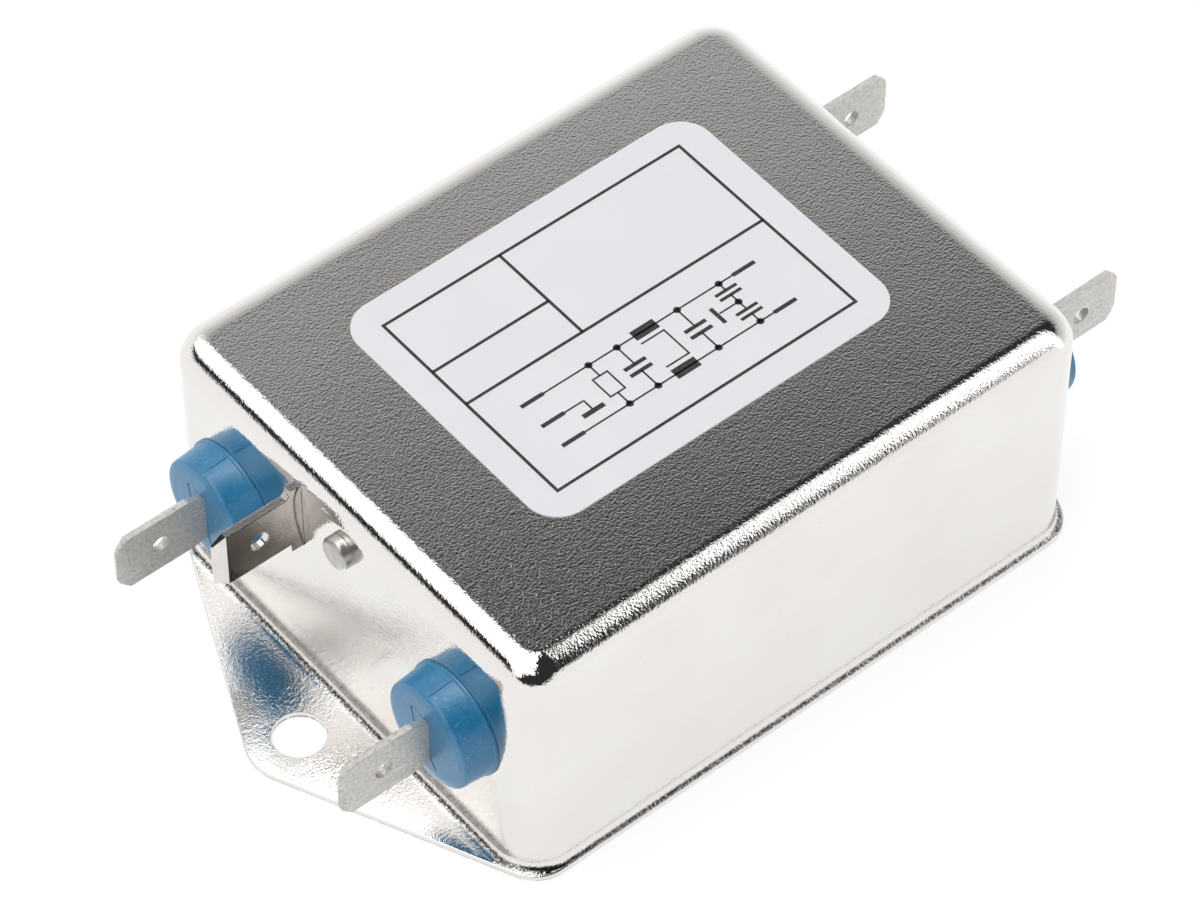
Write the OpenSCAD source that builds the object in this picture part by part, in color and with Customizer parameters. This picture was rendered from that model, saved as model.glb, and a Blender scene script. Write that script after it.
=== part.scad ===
// Power line filter in a drawn metal can with two mounting lugs.
// The line end points along -X, the load end along +X, and the mounting plane is z = 0.

/* [Can] */
// Outside length of the can, from end wall to end wall
can_l = 63.8; // [56:0.1:90]
// Outside width of the can
can_w = 51; // [44:0.1:70]
// Height of the can above the mounting plane
can_h = 28; // [27.5:0.1:45]
// Thickness of the can's sheet
sheet = 0.65; // [0.5:0.05:0.9]
// Outside radius of the can's upright corners
can_rc = 4; // [3.6:0.1:6]
// Outside radius of the rounded edge between roof and walls
can_re = 2.8; // [1.5:0.1:3]

/* [Flange and lugs] */
// How far the trimmed flange stands out past the walls
lip = 0.6; // [0.4:0.05:1.5]
// Outside radius of the bend between wall and flange
foot_r = 1; // [0.6:0.1:1.4]
// Radius of the flange's corners
flange_rc = 4; // [3:0.1:6]
// From the end wall to the centre of the mounting hole
hole_reach = 5.6; // [5:0.1:12]
// Diameter of the mounting hole
hole_d = 5; // [3:0.1:5.4]
// Radius of the lug's nose round the mounting hole
nose_r = 5; // [4:0.1:7]

/* [Terminals] */
// Distance between the two terminals of one end
term_pitch = 31.66; // [28:0.01:34]
// Height of the terminals above the mounting plane
term_z = 14.8; // [12:0.1:19]
// Width of the blades
tab_w = 6.3; // [4.8:0.1:6.3]
// Thickness of the blades
tab_t = 0.8; // [0.5:0.05:1]
// How far a blade stands out of its bushing
tab_reach = 9.5; // [8:0.1:14]
// Diameter of the hole in a blade
tab_hole_d = 1.8; // [1.2:0.1:2]
// From a blade's tip to its hole
tab_hole_in = 4.6; // [3:0.1:6]
// Length of the bevels on a blade's tip
tab_bevel = 1.15; // [0.5:0.05:1.5]

/* [Bushings] */
// Diameter of the bushing's barrel at its collar
bush_d = 11; // [10:0.1:12]
// How far the bushing stands out of the wall
bush_out = 3.35; // [2.5:0.05:5]
// Diameter of the thin collar on the wall
collar_d = 11.4; // [11.2:0.1:13]
// Thickness of the collar
collar_t = 0.3; // [0.2:0.05:0.8]
// Diameter of the neck inside the wall's hole
neck_d = 9.2; // [8.6:0.1:9.6]

/* [Earth terminal] */
// Distance of the earth blade's inner face from the middle plane
earth_y = 5.5; // [4:0.1:7.5]
// Height of the earth blade's centre line
earth_z = 21.8; // [20:0.1:21.8]
// From the end wall to the earth blade's tip
earth_reach = 9.1; // [8:0.1:14]
// Width of the earth blade's root where it meets the wall
root_w = 8.1; // [7:0.1:8.4]
// Diameter of the rivet's head
rivet_d = 3.3; // [3:0.1:3.5]
// Height of the rivet's head
rivet_h = 1.15; // [0.8:0.05:2]

/* [Label] */
// Length of the label
label_l = 40; // [30:0.5:42]
// Width of the label
label_w = 30; // [20:0.5:32]
// Radius of the label's corners
label_rc = 3.3; // [1:0.1:5]

/* [Choke] */
// Outside diameter of the ferrite ring
core_od = 26; // [24:0.5:28]
// Inside diameter of the ferrite ring
core_id = 14; // [14:0.5:16]
// Height of the ferrite ring
core_h = 11; // [6:0.5:12]
// Diameter of the winding wire
wire_d = 1; // [0.6:0.05:1]
// Turns of each winding
turns = 10; // [4:1:10]

/* [Capacitors and resistor] */
// Length of a box capacitor
xcap_l = 18; // [13:0.5:18]
// Thickness of a box capacitor
xcap_t = 6; // [4:0.5:6]
// Height of a box capacitor
xcap_h = 12; // [8:0.5:15]
// Diameter of a disc capacitor
ycap_d = 9; // [6:0.5:9]
// Thickness of a disc capacitor
ycap_t = 4; // [2.5:0.5:4.5]
// Length of the discharge resistor's body
resistor_l = 9; // [6:0.5:10]
// Diameter of the discharge resistor's body
resistor_d = 3.2; // [2:0.1:3.5]

/* [Hidden] */
$fn = 64;

// Sides of the object
line_side = -1;
load_side = 1;
row_l = 1;
row_n = -1;

// Clearances and the overrun of every cutting tool
fit = 0.1;
touch = 0.05;
over = 1;

// Can: inside sizes, the same bends on the sheet's inner face
in_l = can_l - 2 * sheet;
in_w = can_w - 2 * sheet;
in_rc = can_rc - sheet;
in_re = can_re - sheet;
hole_x = can_l / 2 + hole_reach;

// Bottom cover: a shallow tray pressed into the can's mouth
cover_t = 0.5;
cover_up = 0.4;
cover_h = 3;
cover_re = 1;
cover_l = in_l - 2 * fit;
cover_w = in_w - 2 * fit;
cover_rc = in_rc - fit;
bead_in = 6;
bead_w = 2.5;
bead_deep = 0.2;

// Resin and board stand on the cover
resin_t = 2.3;
resin_l = cover_l - 2 * cover_t - 2 * fit;
resin_w = cover_w - 2 * cover_t - 2 * fit;
resin_rc = cover_rc - cover_t - fit;
resin_re = cover_re - cover_t + fit;
board_t = 1.6;
board_gap = 0.4;
board_z = cover_up + cover_t + resin_t;
board_top = board_z + board_t;

// Every wire and leg passes into a hole of the board, and stops short of its lower face
sunk = board_t - touch;

// Liner: one folded sheet under the roof and along the long walls
liner_t = 0.3;
liner_top = can_h - sheet - fit;
liner_foot = cover_up + cover_h + fit;
liner_w = in_w - 2 * fit;
liner_re = in_re - fit;
liner_l = in_l - 2 * in_rc;

// Label lies a little off the roof's middle
label_t = 0.12;
label_x = 0.65;
label_y = 1.65;

// Bushing: a drafted barrel with a sloping rim and a small round edge in front
front_r = 0.35;
rim_w = 0.5;
rim_down = 0.12;
draft = 0.2;
collar_slope = 0.12;
snap_out = 0.5;
snap_d = neck_d + 2 * snap_out;
snap_t = 0.9;
snap_gap = touch;
sleeve_step = 0.4;
sleeve_d = neck_d - 2 * sleeve_step;
sleeve_in = 3.4;

// Lines that the bushing's mould leaves along the barrel and beside the blade.
// The ends of those beside the blade are shares of the barrel's radius
seam_w = 0.14;
seam_in = 0.1;
upper_seam_share = [[0.43, 0.37], [0.15, 0.31]];
lower_seam_share = [[-0.46, -0.08], [-0.63, -0.19]];

// Blade: outside the bushing its edges narrow to a neck, more on the upper side;
// a shoulder inside the bushing and a narrower shank follow
neck_from = 1.7;
neck_upper = 0.75;
neck_lower = 0.25;
edge_r = 0.25;
shoulder_at = 1;
shank_less = 0.95;
shank_w = tab_w - 2 * shank_less;
shank_in = 6.5;
shank_cut = 1.2;
tip_t = 0.4;
tip_w = tab_w - 2 * tab_bevel;
eye_d = 1.6;
eye_in = 1.5;

// Earth blade, its bend, the coined web that fills the slot's bow, and the foot behind the wall
bend_r = 0.5;
root_out = 1.2;
slot_h = root_w + 2 * fit;
slot_bow = 1.2;
web_low = 0.12;
foot_past = 3.3;
foot_corner = 1.2;
rivet_side = 5.91;
rivet_y = earth_y - rivet_side;
rivet_up = 1.03;
rivet_z = earth_z + rivet_up;
shank_d = 2;
rivet_edge = 0.25;
upset_d = 3.2;
upset_h = 0.7;

// Choke
wire_off = wire_d / 2 + fit;
loop_q = 0.9;
base_t = 1.5;
pad_half = 1.1;
pad_in = 0.8;
core_edge = 0.8;
core_z = board_top + base_t + wire_d + 2 * fit;
divider_t = 0.8;
divider_up = 1;
winding_arc = 130;
corner_rings = 4;
wire_sides = 6;

// Places of the parts on the board
xcap_edge = 0.6;
xcap_from_wall = 6.25;
xcap_x = in_l / 2 - xcap_from_wall - xcap_t / 2;
xcap_leg_d = 0.8;
xcap_leg_in = 1.5;
xcap_leg_y = xcap_l / 2 - xcap_leg_in;
ycap_from_wall = 8.75;
ycap_from_side = 4.85;
ycap_x = in_l / 2 - ycap_from_wall - ycap_d / 2;
ycap_y = in_w / 2 - ycap_from_side - ycap_t / 2;
ycap_up = 2;
ycap_leg_d = 0.6;
ycap_leg_pitch = 5;
resistor_x = -8;
resistor_from_side = 2.8;
resistor_y = in_w / 2 - resistor_from_side - resistor_d / 2;
resistor_up = 0.4;
resistor_cap_l = 1.6;
resistor_waist = 0.2;
resistor_wire_d = 0.7;
resistor_wire_out = 1.5;
resistor_reach = resistor_l / 2 + resistor_wire_out;

// Leads
lead_d = 1.2;
lead_bend = 1.4;
lead_past = 1.8;
lead_lap = 3;
earth_lead_down = 2.4;
earth_lead_out = 2;
lead_x = can_l / 2 - shank_in - lead_past;
lead_y = term_pitch / 2 - tab_t / 2 - touch - lead_d / 2;
earth_lead_x = earth_lead_out + sheet + tab_t - can_l / 2;
earth_lead_y = earth_y - bend_r - lead_d;

// Plan of a rounded rectangle round the origin
module rounded(l, w, r) {
    square([l - 2 * r, w], center = true);
    square([l, w - 2 * r], center = true);
    for (sx = [-1, 1], sy = [-1, 1])
        translate([sx * (l / 2 - r), sy * (w / 2 - r)]) circle(r);
}

// Quarter of a disc in the first quadrant
module quarter(r) {
    intersection() {
        circle(r);
        square([r, r]);
    }
}

// Upright section of a drawn box, rounded at its two top edges
module drawn_section(w, h, re) {
    translate([-w / 2, 0]) square([w, h - re]);
    translate([re - w / 2, 0]) square([w - 2 * re, h]);
    for (s = [0, 1])
        mirror([s, 0]) translate([w / 2 - re, h - re]) quarter(re);
}

// Section of the same box through the middle of one round corner
module drawn_corner(rc, h, re) {
    square([rc, h - re]);
    square([rc - re, h]);
    translate([rc - re, h - re]) quarter(re);
}

// Puts a turned child at each upright corner of a box
module at_corners(l, w, rc) {
    for (k = [0:3])
        rotate([0, 0, 90 * k])
            translate([(k % 2 == 0 ? l : w) / 2 - rc, (k % 2 == 0 ? w : l) / 2 - rc, 0])
                children();
}

// Solid box as a press draws it: round corners, and a round edge along the top
module drawn_block(l, w, h, rc, re) {
    rotate([90, 0, 90])
        linear_extrude(l - 2 * rc, center = true) drawn_section(w, h, re);
    rotate([90, 0, 0])
        linear_extrude(w - 2 * rc, center = true) drawn_section(l, h, re);
    at_corners(l, w, rc)
        rotate_extrude(angle = 90) drawn_corner(rc, h, re);
}

// Runs a profile round the can's walls; the profile's x is the distance out from the wall
module around_walls() {
    for (a = [0, 180])
        rotate([0, 0, a]) {
            translate([0, can_w / 2, 0]) rotate([90, 0, 90])
                linear_extrude(can_l - 2 * can_rc, center = true) children();
            translate([can_l / 2, 0, 0]) rotate([90, 0, 0])
                linear_extrude(can_w - 2 * can_rc, center = true) children();
        }
    at_corners(can_l, can_w, can_rc)
        rotate_extrude(angle = 90) translate([can_rc, 0]) children();
}

// The outer tangent of the flange's corner and the lug's nose
corner_x = can_l / 2 + lip - flange_rc;
corner_y = can_w / 2 + lip - flange_rc;
tangent_d = norm([hole_x - corner_x, corner_y]);
tangent_a = atan2(corner_y, corner_x - hole_x) - acos((nose_r - flange_rc) / tangent_d);
nose_point = [hole_x + nose_r * cos(tangent_a), nose_r * sin(tangent_a)];
corner_point = [corner_x + flange_rc * cos(tangent_a), corner_y + flange_rc * sin(tangent_a)];

module flange_plan() {
    rounded(can_l + 2 * lip, can_w + 2 * lip, flange_rc);
    for (s = [0, 1])
        mirror([s, 0]) {
            polygon([
                [0, -corner_y], [corner_x, -corner_y], [corner_point.x, -corner_point.y],
                [nose_point.x, -nose_point.y], nose_point,
                corner_point, [corner_x, corner_y], [0, corner_y]
            ]);
            translate([hole_x, 0]) circle(nose_r);
        }
}

// Local frame of a terminal: z runs outward from the wall's face, x up along the blade's width.
// The load end is the line end turned half round
module at_terminal(side, row) {
    translate([side * can_l / 2, row * term_pitch / 2, term_z])
        rotate([0, 0, side == line_side ? 0 : 180]) rotate([0, -90, 0]) children();
}

// Local frame of the line end: x runs outward from the wall's face
module at_line_wall() {
    translate([-can_l / 2, 0, 0]) mirror([1, 0, 0]) children();
}

// Bowed side of the earth blade's slot, toward the rivet, drawn in all round by a gap
module slot_bow_block(from, thick, gap) {
    bow_r = (pow(slot_h / 2, 2) + pow(slot_bow, 2)) / (2 * slot_bow);
    intersection() {
        translate([from, earth_y - slot_bow, earth_z + gap - slot_h / 2])
            cube([thick, slot_bow + tab_t, slot_h - 2 * gap]);
        translate([from, earth_y - slot_bow + bow_r, earth_z])
            rotate([0, 90, 0]) cylinder(h = thick, r = bow_r - gap, $fn = 128);
    }
}

module earth_slot() {
    translate([-can_re, earth_y - touch, earth_z - slot_h / 2])
        cube([can_re + over, tab_t + fit + touch, slot_h]);
    slot_bow_block(-can_re, can_re + over, 0);
}

module case_shell() {
    color([0.86, 0.85, 0.83])
    difference() {
        union() {
            drawn_block(can_l, can_w, can_h, can_rc, can_re);
            linear_extrude(sheet) flange_plan();
            intersection() {
                translate([0, 0, sheet]) around_walls()
                    difference() {
                        translate([-sheet / 2, 0]) square([foot_r + sheet / 2, foot_r]);
                        translate([foot_r, foot_r]) circle(foot_r);
                    }
                linear_extrude(sheet + foot_r + over) flange_plan();
            }
        }
        translate([0, 0, -over])
            drawn_block(in_l, in_w, can_h - sheet + over, in_rc, in_re);
        around_walls()
            difference() {
                translate([-sheet - over, -over]) square([foot_r + sheet + over, foot_r + sheet + over]);
                translate([foot_r, foot_r + sheet]) circle(foot_r + sheet);
            }
        for (s = [-1, 1])
            translate([s * hole_x, 0, -over]) cylinder(h = sheet + 2 * over, d = hole_d);
        for (side = [line_side, load_side], row = [row_l, row_n])
            at_terminal(side, row) translate([0, 0, -sheet - over])
                cylinder(h = sheet + 2 * over, d = neck_d + 2 * touch);
        at_line_wall() {
            earth_slot();
            translate([-sheet - over, rivet_y, rivet_z]) rotate([0, 90, 0])
                cylinder(h = sheet + 2 * over, d = shank_d + 2 * touch);
        }
    }
}

// Shallow tray with a stiffening bead pressed round its bottom
module base_cover() {
    bead_l = cover_l - 2 * bead_in;
    bead_wide = cover_w - 2 * bead_in;
    color([0.72, 0.72, 0.7])
    difference() {
        translate([0, 0, cover_up + cover_h]) mirror([0, 0, 1])
            difference() {
                drawn_block(cover_l, cover_w, cover_h, cover_rc, cover_re);
                translate([0, 0, -over])
                    drawn_block(cover_l - 2 * cover_t, cover_w - 2 * cover_t,
                        cover_h - cover_t + over, cover_rc - cover_t, cover_re - cover_t);
            }
        translate([0, 0, cover_up - over])
            linear_extrude(over + bead_deep)
                difference() {
                    rounded(bead_l, bead_wide, cover_rc);
                    rounded(bead_l - 2 * bead_w, bead_wide - 2 * bead_w, cover_rc - bead_w / 2);
                }
    }
}

module resin_seal() {
    color([0.16, 0.16, 0.17])
    translate([0, 0, board_z]) mirror([0, 0, 1])
        drawn_block(resin_l, resin_w, resin_t, resin_rc, resin_re);
}

// Board, drilled for every wire and leg that stands in it
module circuit_board() {
    winding_feet = [[loop_r + loop_a, wind_angle(0)], [lead_r, wind_angle(last_k + 1)]];
    holes = concat(
        [for (side = [line_side, load_side], row = [row_l, row_n]) [side * lead_x, row * lead_y, lead_d]],
        [[earth_lead_x, earth_lead_y, lead_d]],
        [for (s = [-1, 1]) [resistor_x + s * resistor_reach, resistor_y, resistor_wire_d]],
        [for (row = [row_l, row_n], s = [-1, 1]) [ycap_x + s * ycap_leg_pitch / 2, row * ycap_y, ycap_leg_d]],
        [for (side = [line_side, load_side], s = [-1, 1]) [side * xcap_x, s * xcap_leg_y, xcap_leg_d]],
        [for (turned = [0, 180], foot = winding_feet)
            [foot[0] * cos(foot[1] + turned), foot[0] * sin(foot[1] + turned), wire_d]]
    );
    color([0.45, 0.5, 0.24])
    difference() {
        translate([0, 0, board_z]) linear_extrude(board_t)
            rounded(cover_l - 2 * cover_t - 2 * board_gap, cover_w - 2 * cover_t - 2 * board_gap, resin_rc);
        for (hole = holes)
            translate([hole[0], hole[1], board_z - over]) cylinder(h = board_t + 2 * over, d = hole[2] + 2 * fit);
    }
}

module insulating_liner() {
    color([0.85, 0.82, 0.7])
    intersection() {
        difference() {
            rotate([90, 0, 90]) linear_extrude(liner_l, center = true)
                drawn_section(liner_w, liner_top, liner_re);
            translate([0, 0, -over]) rotate([90, 0, 90]) linear_extrude(liner_l + over, center = true)
                drawn_section(liner_w - 2 * liner_t, liner_top - liner_t + over, liner_re - liner_t);
        }
        translate([-liner_l, -liner_w, liner_foot]) cube([2 * liner_l, 2 * liner_w, can_h]);
    }
}

module label() {
    color([0.87, 0.86, 0.83])
    translate([label_x, label_y, can_h]) linear_extrude(label_t) rounded(label_l, label_w, label_rc);
}

// Shallow straight groove in a face at z = 0; its ends are shares of a radius
module face_groove(ends_share, r) {
    a = r * ends_share[0];
    b = r * ends_share[1];
    translate([a.x, a.y, 0]) rotate([0, 0, atan2(b.y - a.y, b.x - a.x)])
        translate([0, -seam_w / 2, -seam_in]) cube([norm(b - a), seam_w, seam_in + over]);
}

// Bushing: a barrel and collar outside, a snap ring and sleeve inside, slotted for the blade
module bushing() {
    front = bush_d / 2 - draft;
    edge_at = bush_out - rim_down - front_r;
    color([0.2, 0.36, 0.62])
    difference() {
        rotate_extrude() {
            polygon([
                [0, -sleeve_in], [sleeve_d / 2, -sleeve_in],
                [sleeve_d / 2, -sheet - snap_gap - snap_t], [snap_d / 2, -sheet - snap_gap],
                [neck_d / 2, -sheet - snap_gap], [neck_d / 2, 0], [collar_d / 2, 0],
                [collar_d / 2, collar_t], [bush_d / 2, collar_t + collar_slope],
                [front, edge_at], [front - front_r, edge_at],
                [front - front_r, bush_out - rim_down], [front - front_r - rim_w, bush_out], [0, bush_out]
            ]);
            translate([front - front_r, edge_at]) quarter(front_r);
        }
        translate([neck_lower - tab_w / 2 - fit, -tab_t / 2 - fit, shoulder_at])
            cube([tab_w - neck_lower - neck_upper + 2 * fit, tab_t + 2 * fit, bush_out]);
        translate([0, 0, -sleeve_in - over]) linear_extrude(sleeve_in + over + bush_out)
            square([shank_w + 2 * fit, tab_t + 2 * fit], center = true);
        translate([0, 0, bush_out]) {
            face_groove(upper_seam_share, bush_d / 2);
            face_groove(lower_seam_share, bush_d / 2);
        }
        for (s = [-1, 1])
            translate([s * bush_d / 2, 0, collar_t + collar_slope + bush_out / 2])
                cube([2 * seam_in + 2 * draft, seam_w, bush_out], center = true);
    }
}

// Flat outline of a blade from its tip down to the solder eye; y is the distance out from the wall
module tab_outline(tip) {
    half = tab_w / 2;
    polygon([
        [-tip_w / 2, tip], [tip_w / 2, tip], [half, tip - tab_bevel],
        [half, bush_out + neck_from], [half - neck_upper, bush_out], [half - neck_upper, shoulder_at + touch],
        [shank_w / 2, shoulder_at + touch], [shank_w / 2, -shank_in + shank_cut],
        [shank_w / 2 - shank_cut, -shank_in], [shank_cut - shank_w / 2, -shank_in],
        [-shank_w / 2, -shank_in + shank_cut], [-shank_w / 2, shoulder_at + touch],
        [neck_lower - half, shoulder_at + touch], [neck_lower - half, bush_out], [-half, bush_out + neck_from],
        [-half, tip - tab_bevel]
    ]);
}

// Blade: its outline, thinned at the tip, with one face's long edges rounded by the punch
module tab() {
    tip = bush_out + tab_reach;
    color([0.74, 0.73, 0.7])
    intersection() {
        rotate([90, 0, 0]) linear_extrude(tab_t, center = true)
            difference() {
                tab_outline(tip);
                translate([0, tip - tab_hole_in]) circle(d = tab_hole_d);
                translate([0, -shank_in + eye_in]) circle(d = eye_d);
            }
        rotate([90, 0, 90]) linear_extrude(tab_w + over, center = true)
            polygon([
                [-tab_t / 2, -shank_in - over], [tab_t / 2, -shank_in - over], [tab_t / 2, tip - tab_bevel],
                [tip_t / 2, tip], [-tip_t / 2, tip], [-tab_t / 2, tip - tab_bevel]
            ]);
        translate([0, -tab_t / 2, -shank_in - over]) linear_extrude(tip + shank_in + 2 * over)
            drawn_section(tab_w, tab_t, edge_r);
    }
}

// Earth terminal: blade, wide root in the slot, one bend, and a foot riveted behind the wall
module earth_tab() {
    half = tab_w / 2;
    color([0.62, 0.6, 0.57])
    at_line_wall() {
        difference() {
            translate([0, earth_y + tab_t, earth_z]) rotate([90, 0, 0]) linear_extrude(tab_t)
                difference() {
                    union() {
                        translate([bend_r - sheet, -half])
                            square([earth_reach - bend_r + sheet - tab_bevel, tab_w]);
                        translate([bend_r - sheet, -root_w / 2])
                            square([root_out - bend_r + sheet, root_w]);
                        polygon([
                            [earth_reach - tab_bevel, -half], [earth_reach, -half + tab_bevel],
                            [earth_reach, half - tab_bevel], [earth_reach - tab_bevel, half]
                        ]);
                    }
                    translate([earth_reach - tab_hole_in, 0]) circle(d = tab_hole_d);
                }
            translate([0, 0, earth_z - tab_w]) linear_extrude(2 * tab_w)
                polygon([
                    [earth_reach - tab_bevel, earth_y - over], [earth_reach - tab_bevel, earth_y],
                    [earth_reach, earth_y + tab_t - tip_t], [earth_reach + over, earth_y + tab_t - tip_t],
                    [earth_reach + over, earth_y - over]
                ]);
        }
        translate([bend_r - sheet, earth_y - bend_r, earth_z - half]) rotate([0, 0, 90])
            rotate_extrude(angle = 90) translate([bend_r, 0]) square([tab_t, tab_w]);
        slot_bow_block(-sheet, sheet - web_low, touch);
        difference() {
            translate([-sheet - tab_t, 0, 0]) rotate([90, 0, 90]) linear_extrude(tab_t)
                union() {
                    translate([rivet_y - foot_past + foot_corner, earth_z - half])
                        square([earth_y - bend_r - rivet_y + foot_past - foot_corner, tab_w]);
                    translate([rivet_y - foot_past, earth_z - half + foot_corner])
                        square([foot_past, tab_w - 2 * foot_corner]);
                    for (s = [-1, 1])
                        translate([rivet_y - foot_past + foot_corner, earth_z + s * (half - foot_corner)])
                            circle(foot_corner);
                }
            translate([-sheet - tab_t - over, rivet_y, rivet_z]) rotate([0, 90, 0])
                cylinder(h = tab_t + 2 * over, d = shank_d + 2 * touch);
        }
    }
}

module earth_rivet() {
    grip = sheet + tab_t;
    color([0.8, 0.79, 0.77])
    at_line_wall() translate([0, rivet_y, rivet_z]) rotate([0, 90, 0])
        rotate_extrude()
            polygon([
                [0, -grip - upset_h], [upset_d / 2 - rivet_edge, -grip - upset_h],
                [upset_d / 2, -grip - upset_h + rivet_edge], [upset_d / 2, -grip],
                [shank_d / 2, -grip], [shank_d / 2, 0], [rivet_d / 2, 0],
                [rivet_d / 2, rivet_h - rivet_edge], [rivet_d / 2 - rivet_edge, rivet_h], [0, rivet_h]
            ]);
}

// Moulded foot of the choke: two pads between the windings carry the ring
module choke_base() {
    base_r = core_od / 2 - fit;
    pad_l = (core_od - core_id) / 2 - 2 * pad_in;
    color([0.12, 0.12, 0.12])
    translate([0, 0, board_top]) {
        cylinder(h = base_t, r = base_r);
        for (s = [0, 1])
            mirror([s, 0, 0])
                translate([core_id / 2 + pad_in, -pad_half, 0])
                    cube([pad_l, 2 * pad_half, core_z - board_top]);
    }
}

module choke_core() {
    section_w = (core_od - core_id) / 2;
    color([0.2, 0.21, 0.22])
    translate([0, 0, core_z + core_h / 2]) rotate_extrude()
        translate([(core_od + core_id) / 4, 0]) rounded(section_w, core_h, core_edge);
}

module choke_divider() {
    color([0.8, 0.78, 0.7])
    translate([-core_id / 2 + fit, -divider_t / 2, board_top + base_t])
        cube([core_id - 2 * fit, divider_t, core_z - board_top - base_t + core_h + divider_up]);
}

// Winding: one unbroken wire round the ring's section, turn by turn along the ring.
// Each turn is a rounded rectangle in the plane of the ring's radius and height.
loop_a = (core_od - core_id) / 4 + wire_off;
loop_b = core_h / 2 + wire_off;
loop_r = (core_od + core_id) / 4;
loop_rings = 4 * corner_rings;
wind_from = 90 - winding_arc / 2;

function loop_point(k) =
    let (c = floor(k / corner_rings) % 4, j = k % corner_rings, a = 90 * c + 90 * j / (corner_rings - 1),
         sx = (c == 0 || c == 3) ? 1 : -1, sz = c < 2 ? 1 : -1)
    [loop_r + sx * (loop_a - loop_q) + loop_q * cos(a), sz * (loop_b - loop_q) + loop_q * sin(a)];

function wind_angle(k) = wind_from + winding_arc * k / (turns * loop_rings - corner_rings);

function round_core(rz, a) = [rz[0] * cos(a), rz[0] * sin(a), core_z + core_h / 2 + rz[1]];

// The last turn leaves under the ring, passes its rim and turns down to the board
last_k = turns * loop_rings - corner_rings - 1;
lead_r = core_od / 2 + wire_off;
down_z = -loop_b - loop_q;
wire_foot = board_top - sunk - core_z - core_h / 2;

winding_path = concat(
    [[round_core([loop_r + loop_a, wire_foot], wind_angle(0)), wind_angle(0)]],
    [[round_core([loop_r + loop_a, wire_foot + wire_d], wind_angle(0)), wind_angle(0)]],
    [for (k = [0:last_k]) [round_core(loop_point(k), wind_angle(k)), wind_angle(k)]],
    [for (j = [0:corner_rings - 1])
        let (a = 90 - 90 * j / (corner_rings - 1))
        [round_core([lead_r - loop_q + loop_q * cos(a), down_z + loop_q * sin(a)], wind_angle(last_k + 1)),
         wind_angle(last_k + 1)]],
    [[round_core([lead_r, wire_foot], wind_angle(last_k + 1)), wind_angle(last_k + 1)]]
);

function unit(v) = v / norm(v);

function path_way(i) =
    let (n = len(winding_path) - 1, a = winding_path[max(i - 1, 0)][0], b = winding_path[min(i + 1, n)][0])
    i == 0 || i == n ? [0, 0, i == 0 ? 1 : -1] : unit(b - a);

function ring_at(i) =
    let (p = winding_path[i][0], a = winding_path[i][1], t = path_way(i), e = [-sin(a), cos(a), 0],
         u = unit(e - (e * t) * t), v = cross(t, u))
    [for (s = [0:wire_sides - 1]) p + wire_d / 2 * (cos(360 * s / wire_sides) * u + sin(360 * s / wire_sides) * v)];

winding_rings = len(winding_path);
winding_points = [for (i = [0:winding_rings - 1]) each ring_at(i)];
winding_faces = concat(
    [for (s = [1:wire_sides - 2]) [0, s, s + 1]],
    [for (i = [0:winding_rings - 2], s = [0:wire_sides - 1])
        let (a = i * wire_sides + s, b = i * wire_sides + (s + 1) % wire_sides)
        each [[a, a + wire_sides, b], [b, a + wire_sides, b + wire_sides]]],
    [for (s = [1:wire_sides - 2])
        let (z = (winding_rings - 1) * wire_sides)
        [z, z + s + 1, z + s]]
);

// Least distance between rings at least half a turn apart, less one wire
wire_gap = min([for (i = [0:winding_rings - 1], j = [i + loop_rings / 2:1:winding_rings - 1])
    norm(winding_path[i][0] - winding_path[j][0])]) - wire_d;

module winding() {
    echo(least_gap_between_turns = wire_gap);
    color([0.66, 0.33, 0.15]) polyhedron(points = winding_points, faces = winding_faces, convexity = 10);
}

// Box film capacitor, its length across the can
module x_capacitor(side) {
    color([0.85, 0.7, 0.2])
    translate([side * xcap_x, 0, board_top]) {
        drawn_block(xcap_t, xcap_l, xcap_h, xcap_edge, xcap_edge / 2);
        for (s = [-1, 1])
            translate([0, s * xcap_leg_y, -sunk]) cylinder(h = sunk + xcap_edge, d = xcap_leg_d);
    }
}

// Disc capacitor on two legs, its flat faces along the can
module y_capacitor(row) {
    color([0.2, 0.4, 0.7])
    translate([ycap_x, row * ycap_y, board_top]) {
        translate([0, 0, ycap_up + ycap_d / 2]) rotate([90, 0, 0])
            rotate_extrude() {
                translate([0, -ycap_t / 2]) square([ycap_d / 2 - ycap_t / 2, ycap_t]);
                intersection() {
                    translate([ycap_d / 2 - ycap_t / 2, 0]) circle(ycap_t / 2);
                    translate([0, -ycap_t]) square([ycap_d, 2 * ycap_t]);
                }
            }
        for (s = [-1, 1])
            translate([s * ycap_leg_pitch / 2, 0, -sunk])
                cylinder(h = sunk + ycap_up + ycap_d / 2, d = ycap_leg_d);
    }
}

// A wire that rises from the board, bends and runs on along x
module bent_wire(d, rise, bend, run) {
    cylinder(h = rise - bend, d = d);
    translate([bend, 0, rise - bend]) rotate([90, 0, 0]) rotate([0, 0, 90])
        rotate_extrude(angle = 90) translate([bend, 0]) circle(d = d);
    translate([bend, 0, rise]) rotate([0, 90, 0]) cylinder(h = run - bend, d = d);
}

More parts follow.
